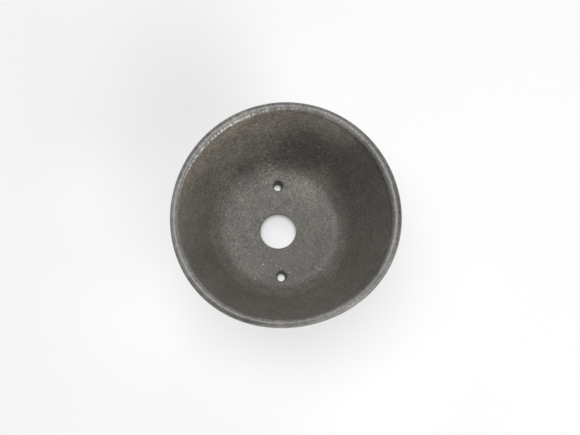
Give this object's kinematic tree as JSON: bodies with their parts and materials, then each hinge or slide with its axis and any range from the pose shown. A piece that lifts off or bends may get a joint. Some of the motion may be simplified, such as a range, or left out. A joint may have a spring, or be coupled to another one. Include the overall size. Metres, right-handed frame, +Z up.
{
  "type": "flower pot",
  "caption": "Round unglazed stoneware flower pot with a flaring wall, rolled lip, central drain hole and wire holes in a flat floor, standing on low luted feet.",
  "frame": {"origin": "on the ground under the middle of the pot, level with the soles of the feet", "axes": "+Z up along the axis that the pot was thrown on; the wire holes stand on the Y axis; one foot is at +X"},
  "size_m": [0.125, 0.125, 0.064],
  "materials": {
    "thrown_stoneware": "matte unglazed, fired brown-grey, with a fine light grit",
    "foot_stoneware": "matte unglazed, fired brown-grey"
  },
  "bodies": {
    "root": {"pot_body": "thrown_stoneware", "right_foot": "foot_stoneware", "back_left_foot": "foot_stoneware", "front_left_foot": "foot_stoneware"}
  },
  "joints": []
}
